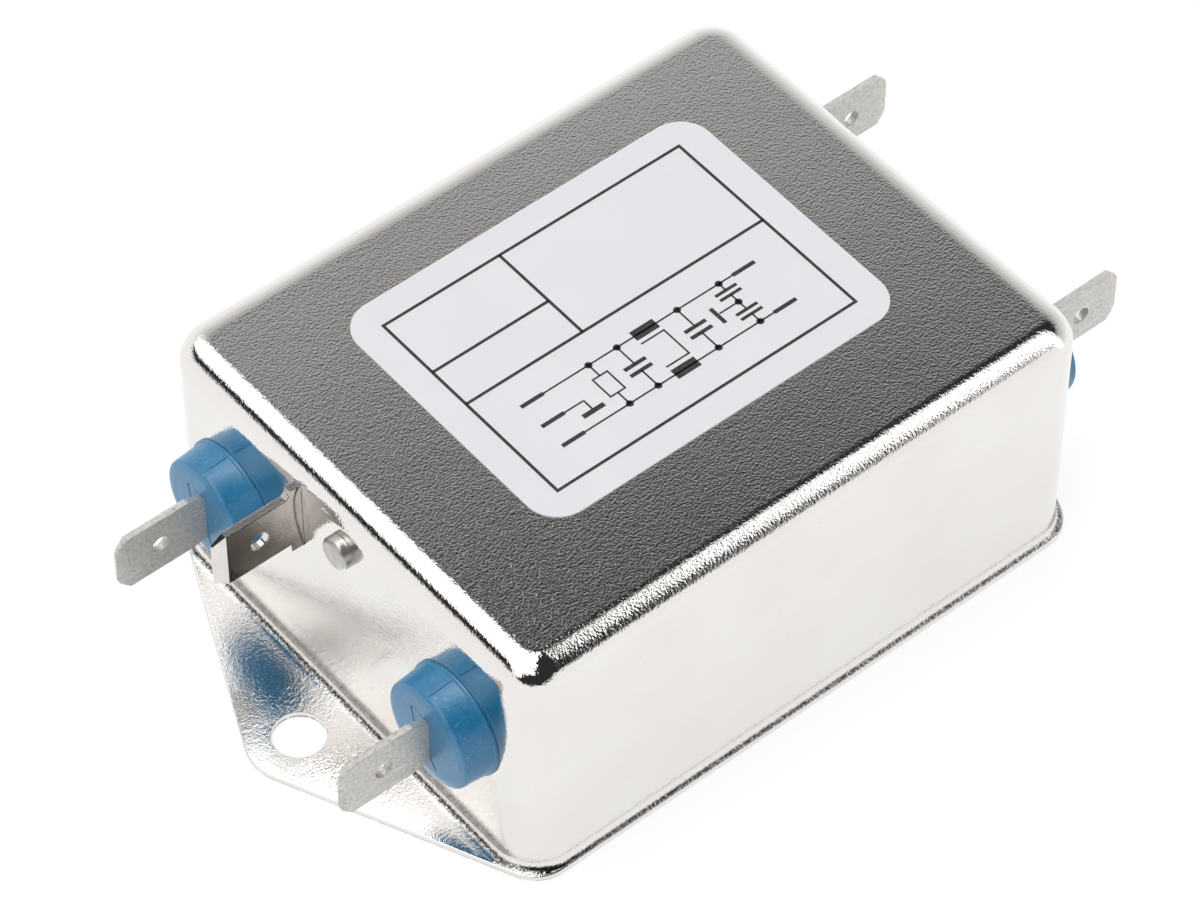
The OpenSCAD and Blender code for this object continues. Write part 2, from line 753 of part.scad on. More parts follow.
module bleed_resistor() {
    rise = resistor_up + resistor_d / 2;
    color([0.75, 0.65, 0.5])
    translate([resistor_x, resistor_y, board_top]) {
        translate([0, 0, rise]) rotate([0, 90, 0]) {
            cylinder(h = resistor_l - resistor_cap_l, d = resistor_d - 2 * resistor_waist, center = true);
            for (s = [-1, 1])
                translate([0, 0, s * (resistor_l - resistor_cap_l) / 2])
                    cylinder(h = resistor_cap_l, d = resistor_d, center = true);
        }
        for (s = [0, 1])
            mirror([s, 0, 0])
                translate([-resistor_reach, 0, -sunk])
                    bent_wire(resistor_wire_d, rise + sunk, resistor_wire_d, resistor_wire_out + touch);
    }
}

// Lead from the board to the inner side of a blade, lapped on the blade's face
module lead(side, row) {
    color([0.75, 0.2, 0.15])
    translate([side * lead_x, row * lead_y, board_top - sunk])
        mirror([side < 0 ? 1 : 0, 0, 0])
            bent_wire(lead_d, term_z - board_top + sunk, lead_bend, lead_past + lead_lap);
}

module earth_lead() {
    rise = earth_z - tab_w / 2 + earth_lead_down - board_top;
    color([0.35, 0.6, 0.2])
    translate([earth_lead_x, earth_lead_y, board_top - sunk])
        mirror([1, 0, 0]) bent_wire(lead_d, rise + sunk, lead_bend, earth_lead_out);
}

case_shell();
base_cover();
resin_seal();
circuit_board();
insulating_liner();
label();
at_terminal(line_side, row_l) bushing();  // line_bushing_l
at_terminal(line_side, row_n) bushing();  // line_bushing_n
at_terminal(load_side, row_l) bushing();  // load_bushing_l
at_terminal(load_side, row_n) bushing();  // load_bushing_n
at_terminal(line_side, row_l) tab();  // line_tab_l
at_terminal(line_side, row_n) tab();  // line_tab_n
at_terminal(load_side, row_l) tab();  // load_tab_l
at_terminal(load_side, row_n) tab();  // load_tab_n
earth_tab();
earth_rivet();
choke_base();
choke_core();
choke_divider();
winding();  // choke_winding_l
rotate([0, 0, 180]) winding();  // choke_winding_n
x_capacitor(line_side);  // x_capacitor_line
x_capacitor(load_side);  // x_capacitor_load
y_capacitor(row_l);  // y_capacitor_l
y_capacitor(row_n);  // y_capacitor_n
bleed_resistor();
lead(line_side, row_l);  // line_lead_l
lead(line_side, row_n);  // line_lead_n
lead(load_side, row_l);  // load_lead_l
lead(load_side, row_n);  // load_lead_n
earth_lead();
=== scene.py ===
import math
import bmesh
import bpy
from mathutils import Matrix, Vector


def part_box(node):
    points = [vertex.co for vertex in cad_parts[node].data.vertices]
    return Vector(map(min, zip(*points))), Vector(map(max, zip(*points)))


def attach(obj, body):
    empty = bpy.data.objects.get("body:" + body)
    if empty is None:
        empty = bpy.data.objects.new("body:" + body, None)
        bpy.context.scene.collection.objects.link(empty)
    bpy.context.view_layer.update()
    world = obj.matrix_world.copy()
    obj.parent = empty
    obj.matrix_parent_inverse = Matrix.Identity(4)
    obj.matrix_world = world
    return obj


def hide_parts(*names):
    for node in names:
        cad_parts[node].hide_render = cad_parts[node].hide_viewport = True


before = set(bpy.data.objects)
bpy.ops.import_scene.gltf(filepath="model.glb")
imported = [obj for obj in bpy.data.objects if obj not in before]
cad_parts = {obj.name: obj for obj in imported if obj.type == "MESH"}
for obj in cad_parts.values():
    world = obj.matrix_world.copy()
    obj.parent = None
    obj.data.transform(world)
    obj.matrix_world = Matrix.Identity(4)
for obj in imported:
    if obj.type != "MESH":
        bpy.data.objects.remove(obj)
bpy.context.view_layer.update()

MM = 0.001
LINE, LOAD = -1, 1


def box_mm(node):
    """Lowest and highest corner of a CAD node in millimetres."""
    lo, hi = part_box(node)
    return lo / MM, hi / MM


# Sizes in millimetres. Places come from the frame, bends and edges are named here.
shell_lo, shell_hi = box_mm("case_shell")
label_lo, label_hi = box_mm("label")
rivet_lo, rivet_hi = box_mm("earth_rivet")
earth_lo, earth_hi = box_mm("earth_tab")
bush_lo, bush_hi = box_mm("line_bushing_n")
blade_lo, blade_hi = box_mm("line_tab_n")

SHEET = 0.65
CAN_RC = 4.0
CAN_RE = 2.8
FOOT_R = 1.0
LIP = 0.6
FLANGE_RC = 4.0
NOSE_R = 5.0
HOLE_D = 5.0
CAN_H = shell_hi.z
FLANGE_W = shell_hi.y - shell_lo.y
CAN_W = FLANGE_W - 2 * LIP
RIVET_D = 3.3
RIVET_H = 1.15
CAN_L = -2 * (rivet_lo.x + RIVET_H)
HOLE_X = shell_hi.x - NOSE_R
WALL_X = CAN_L / 2
TERM_Y = -(blade_lo.y + blade_hi.y) / 2
TERM_Z = (blade_lo.z + blade_hi.z) / 2
BUSH_OUT = -WALL_X - bush_lo.x
BUSH_HOLE_R = 4.65
COLLAR_R = (bush_hi.z - bush_lo.z) / 2
COLLAR_T = 0.3
BARREL_R = 5.5
BARREL_DRAFT = 0.2
RIVET_HOLE_R = 1.05
NECK_FROM = 1.7
NECK_UPPER = 0.75
NECK_LOWER = 0.25
BLADE_W = blade_hi.z - blade_lo.z
BLADE_T = blade_hi.y - blade_lo.y
BLADE_TIP = -blade_lo.x - WALL_X


# Materials

class Shader:
    """A small builder for node materials."""

    def __init__(self, name):
        self.material = bpy.data.materials.new(name)
        self.material.use_nodes = True
        self.tree = self.material.node_tree
        self.bsdf = self.tree.nodes["Principled BSDF"]
        self.place = self.node("ShaderNodeTexCoord").outputs["Object"]

    def node(self, kind, **values):
        made = self.tree.nodes.new(kind)
        for name, value in values.items():
            if hasattr(made, name):
                setattr(made, name, value)
            else:
                self.put(made.inputs[name.replace("_", " ")], value)
        return made

    def put(self, socket, value):
        if isinstance(value, bpy.types.NodeSocket):
            self.tree.links.new(value, socket)
        else:
            socket.default_value = value

    def set(self, **values):
        for name, value in values.items():
            self.put(self.bsdf.inputs[name.replace("_", " ")], value)
        return self

    def noise(self, size, detail=2.0, rough=0.5, stretch=(1, 1, 1)):
        """Noise whose grains are about size millimetres across."""
        mapping = self.node("ShaderNodeMapping")
        self.put(mapping.inputs["Vector"], self.place)
        self.put(mapping.inputs["Scale"], Vector(stretch) / (size * MM))
        made = self.node("ShaderNodeTexNoise", Scale=1.0, Detail=detail, Roughness=rough)
        self.put(made.inputs["Vector"], mapping.outputs["Vector"])
        return made.outputs["Fac"]

    def ramp(self, value, stops):
        """Colour ramp with stops of (place, grey or colour)."""
        made = self.node("ShaderNodeValToRGB")
        self.put(made.inputs["Fac"], value)
        points = made.color_ramp.elements
        while len(points) < len(stops):
            points.new(0.5)
        for point, (at, colour) in zip(points, stops):
            point.position = at
            point.color = (*colour, 1) if isinstance(colour, tuple) else (colour,) * 3 + (1,)
        return made.outputs["Color"]

    def mix(self, share, a, b, blend="MIX"):
        made = self.node("ShaderNodeMix", data_type="RGBA", blend_type=blend)
        self.put(made.inputs["Factor"], share)
        self.put(made.inputs["A"], (*a, 1) if isinstance(a, tuple) else a)
        self.put(made.inputs["B"], (*b, 1) if isinstance(b, tuple) else b)
        return made.outputs["Result"]

    def math(self, operation, a, b=0.0):
        made = self.node("ShaderNodeMath", operation=operation)
        self.put(made.inputs[0], a)
        self.put(made.inputs[1], b)
        return made.outputs["Value"]

    def span(self, value, low, high, to_low=0.0, to_high=1.0):
        made = self.node("ShaderNodeMapRange", From_Min=low, From_Max=high, To_Min=to_low, To_Max=to_high)
        self.put(made.inputs["Value"], value)
        return made.outputs["Result"]

    def axis(self, name):
        made = self.node("ShaderNodeSeparateXYZ")
        self.put(made.inputs["Vector"], self.place)
        return made.outputs[name]

    def facing(self, name):
        """One component of the surface's normal."""
        made = self.node("ShaderNodeSeparateXYZ")
        self.put(made.inputs["Vector"], self.node("ShaderNodeNewGeometry").outputs["Normal"])
        return made.outputs[name]

    def edge(self, radius, low=0.0, high=0.25):
        """About 1 on a sharp edge and 0 away from it."""
        bevel = self.node("ShaderNodeBevel", samples=4)
        self.put(bevel.inputs["Radius"], radius * MM)
        normal = self.node("ShaderNodeNewGeometry").outputs["Normal"]
        dot = self.node("ShaderNodeVectorMath", operation="DOT_PRODUCT")
        self.put(dot.inputs[0], bevel.outputs["Normal"])
        self.put(dot.inputs[1], normal)
        return self.span(dot.outputs["Value"], 1.0 - low, 1.0 - high)

    def bump(self, *layers):
        """Adds height layers of (height, millimetres of depth)."""
        normal = None
        for height, depth in layers:
            made = self.node("ShaderNodeBump", Strength=1.0, Distance=depth * MM)
            self.put(made.inputs["Height"], height)
            if normal is not None:
                self.put(made.inputs["Normal"], normal)
            normal = made.outputs["Normal"]
        self.put(self.bsdf.inputs["Normal"], normal)
        return self


# Depths in millimetres of the nickel's grain low on the can, and of the pebbling on its walls and roof
GRAIN = 0.034
PEBBLE = 0.016


def nickel(name="nickel_plate", painted_dark_lines=True):
    """Bright nickel on drawn steel: a mirror with a fine pebbled grain that breaks every reflected edge. By
    default it also has a painted dark reflection in the bend of its foot, a painted shadow along the foot where the
    flange meets the floor, and dark flange edges that are partly the cut edge's own colour and partly painted dark
    reflection."""
    s = Shader(name)
    grain = s.noise(0.27, detail=3.0, rough=0.6)
    pits = s.ramp(s.noise(0.9, detail=4.0, rough=0.7), [(0.27, 0.0), (0.31, 1.0)])
    cloud = s.noise(9.0, detail=3.0)
    tint = s.mix(s.ramp(cloud, [(0.35, 0.0), (0.7, 1.0)]), (0.785, 0.762, 0.74), (0.815, 0.795, 0.775))
    height = s.axis("Z")
    low = s.span(height, 2.0 * MM, 4.0 * MM, 1.0, 0.0)
    pebble = s.math("MULTIPLY", s.noise(0.23, detail=1.0), s.math("SUBTRACT", 1.0, low))
    # Painted dark reflection: a ragged dark band in the concave bend of the foot, just above the flange.
    dirt_and_painted_reflection = s.math("MULTIPLY", s.span(height, (SHEET + 0.02) * MM, (SHEET + 0.10) * MM, 0.0, 1.0),
                  s.span(height, (SHEET + 0.28) * MM, (SHEET + 0.50) * MM, 0.85, 0.0))
    dirt_and_painted_reflection = s.math("MULTIPLY", dirt_and_painted_reflection, s.ramp(s.noise(0.22, detail=3.0), [(0.38, 0.2), (0.56, 1.0)]))
    # Dark flange edges below 0.9 mm: partly the cut edge's own colour, partly a painted dark reflection.
    rim = s.math("MULTIPLY", s.edge(0.07), s.span(height, 0.7 * MM, 0.9 * MM, 0.75, 0.0))
    # Painted shadow: a ragged dark line on the flange's steep faces just above the floor, where the flange meets it.
    foot = s.math("MULTIPLY", s.span(height, 0.10 * MM, 0.22 * MM, 0.8, 0.0),
                  s.ramp(s.noise(0.4, detail=3.0), [(0.38, 0.0), (0.46, 1.0)]))
    foot = s.math("MULTIPLY", foot, s.span(s.math("ABSOLUTE", s.facing("Z")), 0.5, 0.8, 1.0, 0.0))
    colour = s.mix(pits, (0.74, 0.70, 0.65), tint)
    # Painted light and shade go into the base colour here, placed by height: the flange edges, the band in the foot's
    # bend and the line along the foot.
    if painted_dark_lines:
        colour = s.mix(rim, colour, (0.10, 0.09, 0.08))
        colour = s.mix(dirt_and_painted_reflection, colour, (0.025, 0.02, 0.016))
        colour = s.mix(foot, colour, (0.02, 0.018, 0.015))
    s.set(Base_Color=colour, Metallic=1.0)
    s.set(Roughness=s.span(grain, 0.3, 0.7, 0.03, 0.055))
    return s.bump((s.noise(5.0, detail=1.0), 0.006), (s.math("MULTIPLY", grain, low), GRAIN), (pebble, PEBBLE),
                  (pits, 0.003)).material


def tin(name="tin_plate", tone=(0.70, 0.685, 0.65), dark=(0.50, 0.49, 0.465), dirt_and_painted_reflection=0.7):
    """Dull tin plate: fine mottling, dark flecks, pale scratches and a ragged dark line where the punch cut it."""
    s = Shader(name)
    blotch = s.ramp(s.noise(0.36, detail=5.0, rough=0.65), [(0.36, 0.0), (0.62, 1.0)])
    flecks = s.ramp(s.noise(0.3, detail=4.0, rough=0.75), [(0.36, 1.0), (0.42, 0.0)])
    flecks = s.math("MULTIPLY", flecks, s.ramp(s.noise(3.0, detail=3.0), [(0.42, 0.15), (0.6, 1.0)]))
    scratch = s.ramp(s.noise(0.35, detail=2.0, stretch=(0.16, 1, 1)), [(0.62, 0.0), (0.72, 1.0)])
    colour = s.mix(blotch, dark, tone)
    colour = s.mix(s.math("MULTIPLY", flecks, dirt_and_painted_reflection), colour, tuple(0.35 * c for c in dark))
    colour = s.mix(s.math("MULTIPLY", scratch, 0.7), colour, (0.80, 0.80, 0.78))
    ragged = s.math("MULTIPLY", s.edge(0.07), s.ramp(s.noise(0.3, detail=3.0), [(0.42, 0.0), (0.55, 1.0)]))
    s.set(Base_Color=s.mix(s.math("MULTIPLY", ragged, 0.8), colour, (0.05, 0.045, 0.04)), Metallic=0.55)
    s.set(Roughness=s.span(blotch, 0.0, 1.0, 0.52, 0.42))
    return s.bump((s.noise(0.3, detail=3.0), 0.008), (scratch, 0.003)).material


def blue_plastic():
    """Saturated blue moulded plastic with a milky sheen and fine scuffs."""
    s = Shader("blue_plastic")
    cloud = s.noise(1.2, detail=5.0, rough=0.7)
    colour = s.mix(s.ramp(cloud, [(0.3, 0.0), (0.7, 1.0)]), (0.006, 0.152, 0.32), (0.015, 0.190, 0.385))
    scuff = s.ramp(s.noise(0.22, detail=4.0, rough=0.75), [(0.56, 0.0), (0.70, 1.0)])
    lines = s.ramp(s.noise(0.3, detail=2.0, stretch=(0.25, 1, 0.5)), [(0.66, 0.0), (0.72, 1.0)])
    worn = s.math("MAXIMUM", s.math("MULTIPLY", scuff, 0.20), s.math("MULTIPLY", lines, 0.22))
    s.set(Base_Color=s.mix(worn, colour, (0.42, 0.60, 0.78)))
    s.set(Roughness=s.span(cloud, 0.3, 0.7, 0.28, 0.38), IOR=1.62)
    return s.bump((s.noise(0.2, detail=3.0), 0.009), (s.noise(1.6), 0.02)).material


def satin_film():
    """White printed film of the label."""
    s = Shader("label_film")
    cloud = s.noise(7.0, detail=3.0)
    s.set(Base_Color=s.mix(s.ramp(cloud, [(0.3, 0.0), (0.7, 1.0)]), (0.73, 0.735, 0.757), (0.75, 0.756, 0.777)))
    s.set(Roughness=s.span(s.noise(0.6), 0.3, 0.7, 0.38, 0.48), IOR=1.45)
    return s.bump((s.noise(0.4, detail=2.0), 0.002), (s.noise(5.0), 0.01)).material


def ink():
    """Black printing ink, slightly uneven in its cover."""
    s = Shader("label_ink")
    cover = s.ramp(s.noise(0.35, detail=3.0), [(0.35, 0.0), (0.65, 1.0)])
    s.set(Base_Color=s.mix(cover, (0.012, 0.012, 0.014), (0.03, 0.03, 0.032)))
    s.set(Roughness=s.span(cover, 0, 1, 0.4, 0.55))
    return s.material


def plain(name, low, high, size=1.5, rough=(0.45, 0.6), depth=0.01, metallic=0.0):
    """Material of a hidden or minor piece: two tones of noise with grain in roughness and height."""
    s = Shader(name)
    cloud = s.noise(size, detail=4.0)
    s.set(Base_Color=s.mix(s.ramp(cloud, [(0.3, 0.0), (0.7, 1.0)]), low, high), Metallic=metallic)
    s.set(Roughness=s.span(cloud, 0.3, 0.7, *rough))
    return s.bump((s.noise(size / 5, detail=3.0), depth)).material


def satin_steel():
    """Turned and tumbled steel of the rivet, satin, with faint rings."""
    s = Shader("satin_steel")
    cloud = s.ramp(s.noise(0.9, detail=4.0, rough=0.65), [(0.35, 0.0), (0.65, 1.0)])
    s.set(Base_Color=s.mix(cloud, (0.44, 0.42, 0.39), (0.56, 0.54, 0.51)), Metallic=0.85)
    s.set(Roughness=s.span(cloud, 0, 1, 0.38, 0.28))
    return s.bump((s.noise(0.25, detail=3.0), 0.006), (s.noise(0.3, stretch=(2.5, 1, 1)), 0.003)).material


NICKEL = nickel()
SATIN = satin_steel()
LINE_TIN = tin()
LOAD_TIN = tin("tin_plate_pale", (0.72, 0.70, 0.665), (0.56, 0.545, 0.515))
BLUE = blue_plastic()
FILM = satin_film()
INK = ink()


# Meshes. Builders work in millimetres and hand over in metres.

def to_object(name, bm, material, node=None, sharp=35.0):
    """Turns a bmesh in millimetres into a piece that rides on the body."""
    bmesh.ops.remove_doubles(bm, verts=bm.verts, dist=1e-4)
    bmesh.ops.recalc_face_normals(bm, faces=bm.faces)
    bmesh.ops.scale(bm, vec=(MM, MM, MM), verts=bm.verts)
    mesh = bpy.data.meshes.new(name)
    bm.to_mesh(mesh)
    bm.free()
    made = bpy.data.objects.new(name, mesh)
    bpy.context.scene.collection.objects.link(made)
    return dress(made, material, node, sharp)


def dress(made, material, node=None, sharp=35.0):
    made.data.materials.clear()
    made.data.materials.append(material)
    made.data.shade_smooth()
    made.data.set_sharp_from_angle(angle=math.radians(sharp))
    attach(made, "root")
    if node:
        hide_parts(node)
    return made


def rings_to_bmesh(rings, closed=True, cap_first=False, cap_last=False):
    """Quads between rings of equal length; each ring is a list of points."""
    bm = bmesh.new()
    made = [[bm.verts.new(p) for p in ring] for ring in rings]
    n = len(rings[0])
    for a, b in zip(made, made[1:]):
        for i in range(n if closed else n - 1):
            j = (i + 1) % n
            bm.faces.new((a[i], a[j], b[j], b[i]))
    if cap_first:
        bm.faces.new(made[0])
    if cap_last:
        bm.faces.new(made[-1][::-1])
    return bm


def arc(cx, cy, r, start, end, steps):
    """Points on an arc, angles in degrees."""
    return [(cx + r * math.cos(math.radians(start + (end - start) * k / steps)),
             cy + r * math.sin(math.radians(start + (end - start) * k / steps))) for k in range(steps + 1)]


def circle(cx, cy, r, count):
    """Points round a circle, the first not repeated."""
    return arc(cx, cy, r, 0, 360 * (count - 1) / count, count - 1)


def revolve(profile, steps):
    """Solid of revolution about Z of an open profile of (radius, height), closed by a flat face at each end."""
    rings = [[(r * math.cos(2 * math.pi * k / steps), r * math.sin(2 * math.pi * k / steps), z)
              for k in range(steps)] for r, z in profile]
    return rings_to_bmesh(rings, True, True, True)


def add(bm, part):
    """Adds one bmesh to another and frees it."""
    keep = bpy.data.meshes.new("part")
    part.to_mesh(keep)
    part.free()
    bm.from_mesh(keep)
    bpy.data.meshes.remove(keep)


def prism(points, low, high):
    """Upright prism over an outline of (x, y) points."""
    return rings_to_bmesh([[(x, y, z) for x, y in points] for z in (low, high)], True, True, True)


def cut(target, cutters):
    """Takes the cutters, bmeshes in millimetres, out of the target object."""
    for number, bm in enumerate(cutters):
        bmesh.ops.recalc_face_normals(bm, faces=bm.faces)
        bmesh.ops.scale(bm, vec=(MM, MM, MM), verts=bm.verts)
        mesh = bpy.data.meshes.new(f"cutter_{number}")
        bm.to_mesh(mesh)
        bm.free()
        tool = bpy.data.objects.new(f"cutter_{number}", mesh)
        bpy.context.scene.collection.objects.link(tool)
        step = target.modifiers.new("cut", "BOOLEAN")
        step.operation, step.solver, step.object = "DIFFERENCE", "EXACT", tool
        bpy.context.view_layer.update()
        graph = bpy.context.evaluated_depsgraph_get()
        result = bpy.data.meshes.new_from_object(target.evaluated_get(graph), depsgraph=graph)
        target.modifiers.clear()
        old, target.data = target.data, result
        bpy.data.meshes.remove(old)
        bpy.data.objects.remove(tool)
        bpy.data.meshes.remove(mesh)


def sheet_piece(outline, holes, thickness, edge_r, edge_steps=2):
    """Flat stamped piece in the XY plane, centred on z = 0, with rounded edges. Holes are (x, y, radius)."""
    curve = bpy.data.curves.new("outline", "CURVE")
    curve.dimensions, curve.fill_mode = "2D", "BOTH"
    loops = [outline] + [circle(x, y, r, 48) for x, y, r in holes]
    for loop in loops:
        spline = curve.splines.new("POLY")
        spline.points.add(len(loop) - 1)
        for point, (x, y) in zip(spline.points, loop):
            point.co = (x, y, 0, 1)
        spline.use_cyclic_u = True
    curve.extrude, curve.bevel_depth = thickness / 2 - edge_r, edge_r
    curve.bevel_resolution, curve.offset = edge_steps, -edge_r
    holder = bpy.data.objects.new("outline", curve)
    bpy.context.scene.collection.objects.link(holder)
    graph = bpy.context.evaluated_depsgraph_get()
    mesh = bpy.data.meshes.new_from_object(holder.evaluated_get(graph))
    bm = bmesh.new()
    bm.from_mesh(mesh)
    bpy.data.objects.remove(holder)
    bpy.data.curves.remove(curve)
    bpy.data.meshes.remove(mesh)
    bmesh.ops.remove_doubles(bm, verts=bm.verts, dist=1e-4)
    return bm


def stamped(outline, holes, thickness, front_edge, back_edge):
    """Stamped plate in the XY plane: its edges at -Z keep a small bevel, those at +Z are rolled by the punch."""
    bm = sheet_piece(outline, holes, thickness, 0.0)
    bmesh.ops.recalc_face_normals(bm, faces=bm.faces)
    bmesh.ops.dissolve_limit(bm, angle_limit=math.radians(2), verts=bm.verts, edges=bm.edges)
    for side, width, steps in ((-1, front_edge, 1), (1, back_edge, 4)):
        rim = [e for e in bm.edges if len(e.link_faces) == 2 and e.calc_face_angle() > 1.4
               and all(side * v.co.z > thickness / 2 - 0.001 for v in e.verts)
               and all(min(((v.co.x - x) ** 2 + (v.co.y - y) ** 2) for x, y, r in holes) > (holes[0][2] + 0.05) ** 2
                       for v in e.verts)]
        bmesh.ops.bevel(bm, geom=rim, offset=width, segments=steps, profile=0.5, affect="EDGES", clamp_overlap=True)
    return bm


# The can: one closed skin of sheet metal, ring by ring from the roof's middle over the walls to the flange
# and back inside.

def hull(points):
    """Convex hull, counter-clockwise."""
    points = sorted(set((round(x, 6), round(y, 6)) for x, y in points))

    def half(seq):
        out = []
        for p in seq:
            while len(out) > 1 and ((out[-1][0] - out[-2][0]) * (p[1] - out[-2][1])
                                    - (out[-1][1] - out[-2][1]) * (p[0] - out[-2][0])) <= 0:
                out.pop()
            out.append(p)
        return out[:-1]
    return half(points) + half(points[::-1])


def flange_outline():
    """Outline of the flange with its two pointed lugs: the hull of four corner circles and two nose circles."""
    corner_x = WALL_X + LIP - FLANGE_RC
    corner_y = FLANGE_W / 2 - FLANGE_RC
    points = []
    for sx in (-1, 1):
        points += arc(sx * HOLE_X, 0, NOSE_R, 0, 360, 360)
        for sy in (-1, 1):
            points += arc(sx * corner_x, sy * corner_y, FLANGE_RC, 0, 360, 360)
    return hull(points)


def reach(anchor, way, outline):
    """Distance from anchor along way to the outline."""
    best = None
    for a, b in zip(outline, outline[1:] + outline[:1]):
        ex, ey = b[0] - a[0], b[1] - a[1]
        det = way[0] * -ey + way[1] * ex
        if abs(det) < 1e-12:
            continue
        px, py = a[0] - anchor[0], a[1] - anchor[1]
        t = (px * -ey + py * ex) / det
        u = (way[0] * py - way[1] * px) / det
        if t > 0 and -1e-6 <= u <= 1 + 1e-6:
            best = t if best is None else max(best, t)
    return best


def wall_path():
    """Anchors and outward ways round the can, counter-clockwise: a wall point lies CAN_RC from its anchor."""
    ax, ay = WALL_X - CAN_RC, CAN_W / 2 - CAN_RC
    fine = [k * 0.35 for k in range(-8, 9)]
    coarse = [s * (3.4 + (ay - 3.4) * k / 12) for s in (-1, 1) for k in range(13)]
    along_y = sorted(fine + coarse)
    path = []
    for side in (1, -1):
        path += [((side * ax, side * y), (side, 0)) for y in along_y[:-1]]
        path += [((side * ax, side * ay), (side * math.cos(a), side * math.sin(a)))
                 for a in [math.radians(90 * k / 14) for k in range(14)]]
        path += [((side * x, side * ay), (0, side)) for x in [ax - 2 * ax * k / 20 for k in range(20)]]
        path += [((-side * ax, side * ay), (side * math.cos(a), side * math.sin(a)))
                 for a in [math.radians(90 + 90 * k / 14) for k in range(14)]]
    return path


def can_profile(limit):
    """Section of the sheet where the flange ends at limit: (distance out from the wall, height)."""
    edge = 0.14
    foot_z = SHEET + FOOT_R
    outer_r = FOOT_R + SHEET

    def top(d):
        return SHEET if d >= FOOT_R else foot_z - math.sqrt(FOOT_R ** 2 - (FOOT_R - d) ** 2)

    def under(d):
        return 0.0 if d >= FOOT_R else foot_z - math.sqrt(outer_r ** 2 - (FOOT_R - d) ** 2)

    section = [(-CAN_RE - 1.0, CAN_H), (-CAN_RE - 0.25, CAN_H)]
    section += [(d - CAN_RE, z) for d, z in arc(0, CAN_H - CAN_RE, CAN_RE, 90, 0, 12)]
    low, high = foot_z + 0.25, CAN_H - CAN_RE - 0.25
    section += [(0, high - (high - low) * k / 6) for k in range(7)]
    for k in range(9):
        d = min(FOOT_R * (1 - math.cos(math.radians(90 * k / 8))), limit - edge)
        section.append((d, top(d)))
    for extra in (0.25, 0.6):
        d = min(FOOT_R + extra, limit - edge * (1.6 - extra))
        section.append((d, top(d)))
    tip = top(limit)
    foot = under(limit)
    section += [(limit - edge + edge * math.sin(math.radians(a)), tip - edge + edge * math.cos(math.radians(a)))
                for a in (0, 30, 60, 90)]
    section += [(limit - edge + edge * math.cos(math.radians(a)), foot + edge - edge * math.sin(math.radians(a)))
                for a in (0, 30, 60, 90)]
    for k in range(9):
        d = min(FOOT_R - outer_r * math.cos(math.radians(90 - 90 * k / 8)), limit - edge)
        section.append((d, under(d)))
    section += [(-SHEET, low), (-SHEET, high)]
    section += [(d - CAN_RE, z) for d, z in arc(0, CAN_H - CAN_RE, CAN_RE - SHEET, 0, 90, 6)]
    section.append((-CAN_RE - 1.0, CAN_H - SHEET))
    return section


SLOT_BOW = 1.2
SLOT_H = 8.3
SLOT_Z = (earth_lo.z + earth_hi.z) / 2


def slot_outline():
    """Slot for the earth blade in the wall's plane, (y, z), bowed toward the rivet."""
    bow_r = (SLOT_H ** 2 / 4 + SLOT_BOW ** 2) / (2 * SLOT_BOW)
    half = math.degrees(math.asin(SLOT_H / 2 / bow_r))
    near = earth_hi.y - BLADE_T
    bow = arc(near - SLOT_BOW + bow_r, SLOT_Z, bow_r, 180 + half, 180 - half, 24)
    far = earth_hi.y + 0.12
    return bow + [(far, SLOT_Z + SLOT_H / 2), (far, SLOT_Z - SLOT_H / 2)]


def inset_bow(gap):
    """The slot's bow drawn in by a gap, up to the blade's inner face."""
    bow_r = (SLOT_H ** 2 / 4 + SLOT_BOW ** 2) / (2 * SLOT_BOW)
    near = earth_hi.y - BLADE_T
    middle = near - SLOT_BOW + bow_r
    half = math.degrees(math.acos((middle - near - 0.1) / (bow_r - gap)))
    return arc(middle, SLOT_Z, bow_r - gap, 180 + half, 180 - half, 24)


def make_can():
    """The can's skin with the holes for screws, bushings, rivet and earth blade."""
    outline = flange_outline()
    columns = []
    for anchor, way in wall_path():
        limit = reach(anchor, way, outline) - CAN_RC
        columns.append([(anchor[0] + way[0] * (CAN_RC + d), anchor[1] + way[1] * (CAN_RC + d), z)
                        for d, z in can_profile(limit)])
    rings = [list(ring) for ring in zip(*columns)]
    made = to_object("case_skin", rings_to_bmesh(rings, True, True, True), NICKEL, "case_shell")
    tools = []
    for side in (LINE, LOAD):
        tools.append(prism(circle(side * HOLE_X, 0, HOLE_D / 2, 64), -1, 2))
        for row in (-1, 1):
            tools.append(along_x(prism(circle(0, 0, BUSH_HOLE_R, 48), -1, 1), side, row * TERM_Y, TERM_Z))
    tools.append(along_x(prism(circle(0, 0, RIVET_HOLE_R, 24), -1, 1), LINE, RIVET_Y, RIVET_Z))
    rings = [[(x, y, z) for y, z in slot_outline()] for x in (-WALL_X - 1, -WALL_X + 2.2)]
    tools.append(rings_to_bmesh(rings, True, True, True))
    cut(made, tools)
    made.data.set_sharp_from_angle(angle=math.radians(35))
    return made


def along_x(bm, side, y, z):
    """Turns a piece built along +Z so that it points out of an end wall, its foot on the wall's face."""
    turn = Matrix(((0, 0, side), (0, 1, 0), (-side, 0, 0))).to_4x4()
    bmesh.ops.transform(bm, matrix=Matrix.Translation((side * WALL_X, y, z)) @ turn, verts=bm.verts)
    return bm


RIVET_Y = (rivet_lo.y + rivet_hi.y) / 2
RIVET_Z = (rivet_lo.z + rivet_hi.z) / 2


def block(lo, hi):
    """Box between two corners."""
    bm = bmesh.new()
    bmesh.ops.create_cube(bm, size=1.0)
    centre = (Vector(lo) + Vector(hi)) / 2
    bmesh.ops.scale(bm, vec=Vector(hi) - Vector(lo), verts=bm.verts)
    bmesh.ops.translate(bm, vec=centre, verts=bm.verts)
    return bm


